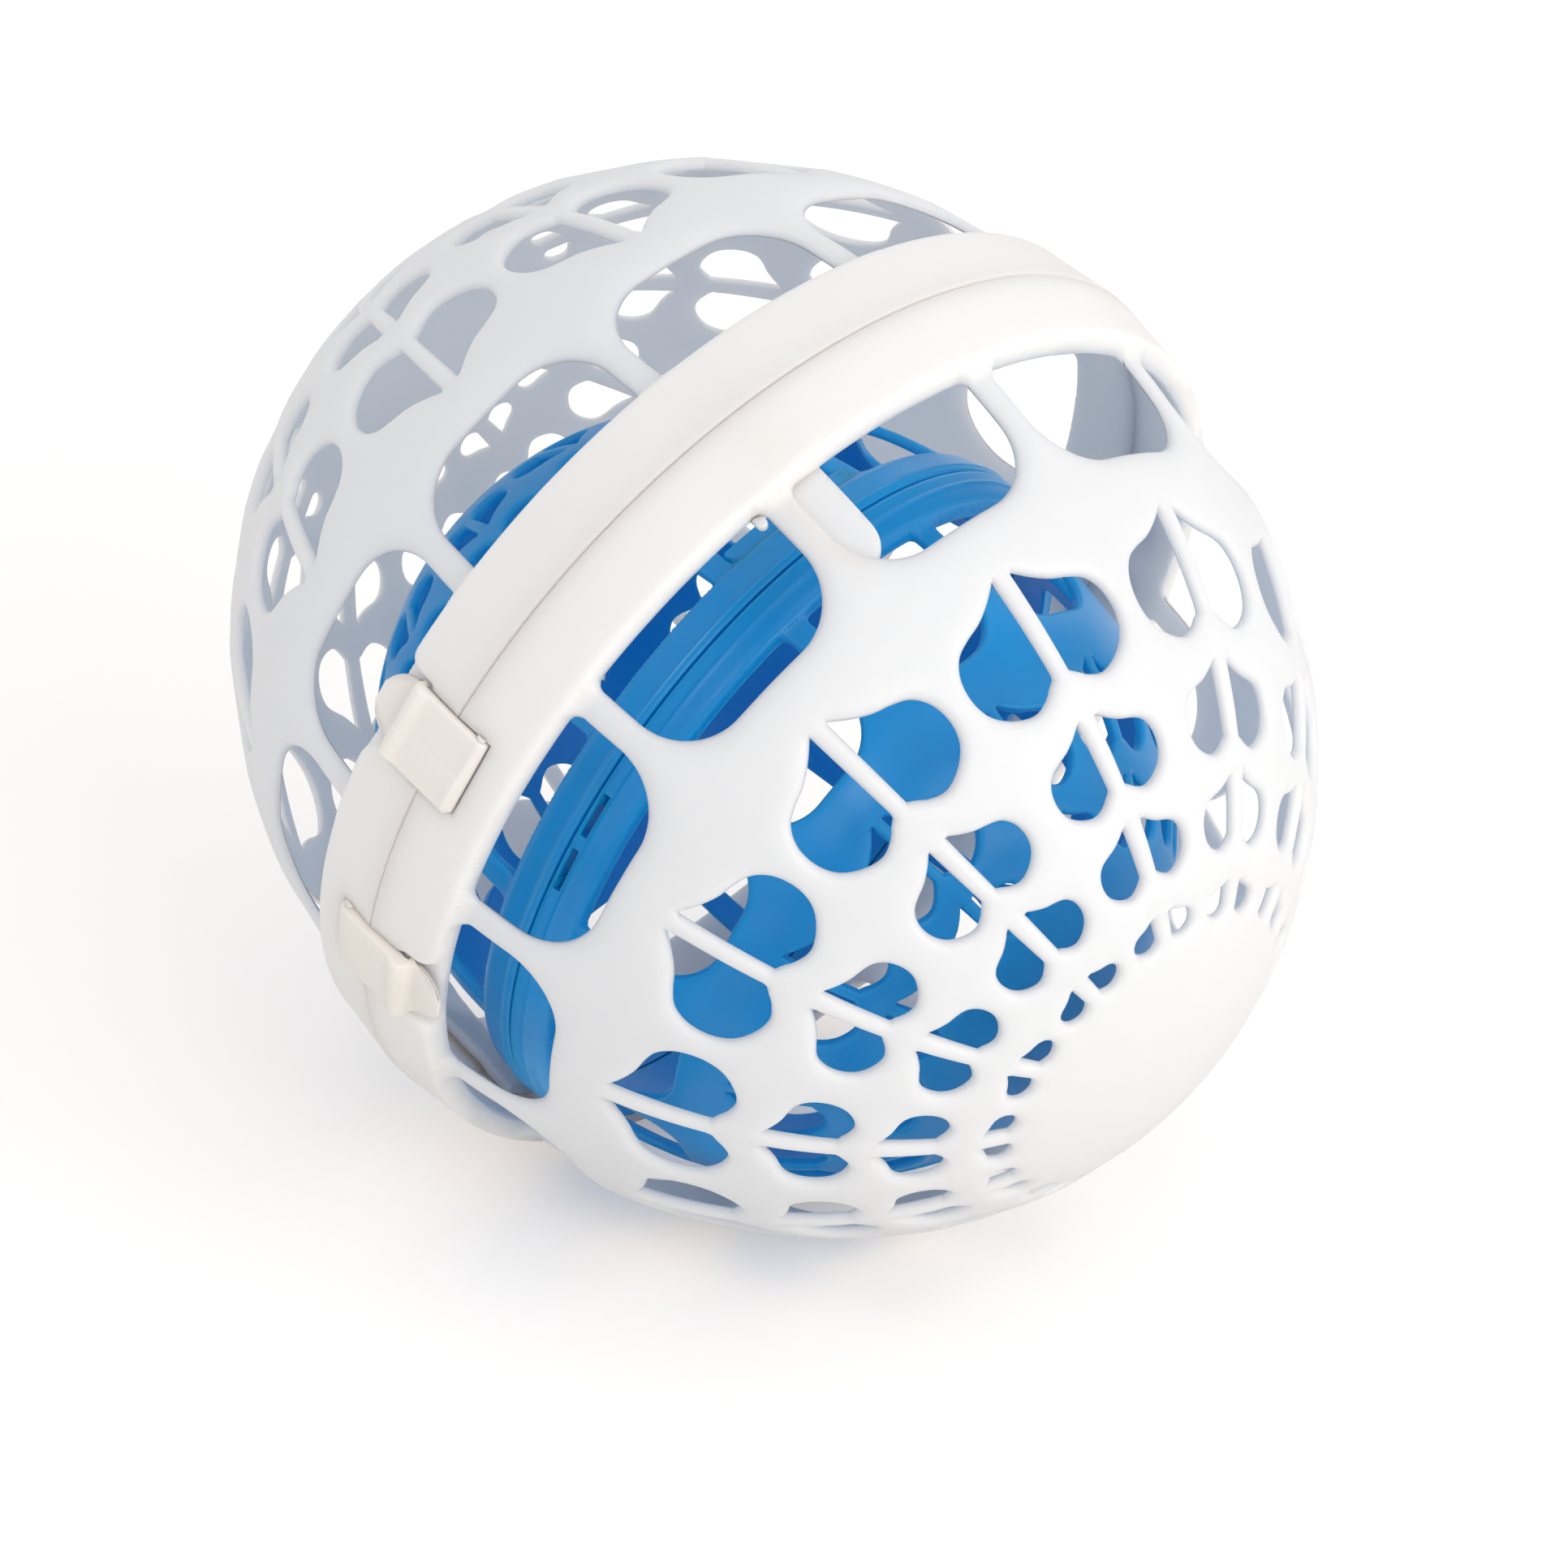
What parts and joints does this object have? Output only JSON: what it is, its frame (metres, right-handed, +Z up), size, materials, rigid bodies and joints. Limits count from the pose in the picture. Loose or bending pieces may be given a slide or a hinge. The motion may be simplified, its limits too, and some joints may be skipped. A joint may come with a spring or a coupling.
{
  "type": "delicates wash ball",
  "caption": "Openwork outer ball in two hinged and latched halves, with a smaller hinged openwork ball loose inside, that keeps delicate garments apart in a washing machine.",
  "frame": {"origin": "centre of the bounding box's underside, on the surface that the ball rests on", "axes": "+Z up as the ball lies in the picture; +Y along the length of the ball, from the base half to the lid half, level; +X towards the outer hinge, with the latches at -X"},
  "size_m": [0.1772, 0.188, 0.1675],
  "materials": {
    "white_plastic": "moulded polypropylene, satin gloss",
    "ivory_plastic": "moulded polypropylene, satin, slightly warmer white",
    "blue_plastic": "moulded polypropylene, coloured through, satin gloss",
    "pin_plastic": "natural acetal rod"
  },
  "bodies": {
    "base": {"outer_base_half": "white_plastic", "outer_hinge_pin": "pin_plastic"},
    "lid": {"outer_lid_half": "white_plastic"},
    "base_latch": {"base_latch": "ivory_plastic"},
    "lid_latch": {"lid_latch": "ivory_plastic"},
    "inner_base": {"inner_base_half": "blue_plastic", "inner_hinge_pin": "pin_plastic"},
    "inner_lid": {"inner_lid_half": "blue_plastic"}
  },
  "joints": [
    {"name": "lid_hinge", "type": "hinge", "parent": "base", "child": "lid", "pos_m": [0.08551, 0, 0.08377], "axis": [0, 0.3074, -0.9516], "range_deg": [0, 165]},
    {"name": "base_latch_pivot", "type": "hinge", "parent": "base", "child": "base_latch", "pos_m": [-0.08482, -0.01175, 0.1029], "axis": [0.2588, -0.297, 0.9191], "range_deg": [0, 40]},
    {"name": "lid_latch_pivot", "type": "hinge", "parent": "lid", "child": "lid_latch", "pos_m": [-0.08482, 0.01175, 0.06464], "axis": [0.2588, 0.297, -0.9191], "range_deg": [0, 40]},
    {"name": "inner_ball_lift", "type": "slide", "parent": "base", "child": "inner_base", "axis": [0, 0.8332, 0.5529], "range_m": [0, 0.1105]},
    {"name": "inner_lid_hinge", "type": "hinge", "parent": "inner_base", "child": "inner_lid", "pos_m": [0.05981, 0.01162, 0.04781], "axis": [-0.3211, 0.2347, -0.9175], "range_deg": [0, 85.5]}
  ],
  "couplings": [
    {"joint": "inner_ball_lift", "follows": "lid_hinge", "m_per_rad": 0.038197},
    {"joint": "inner_lid_hinge", "follows": "lid_hinge", "ratio": 0.51515}
  ]
}
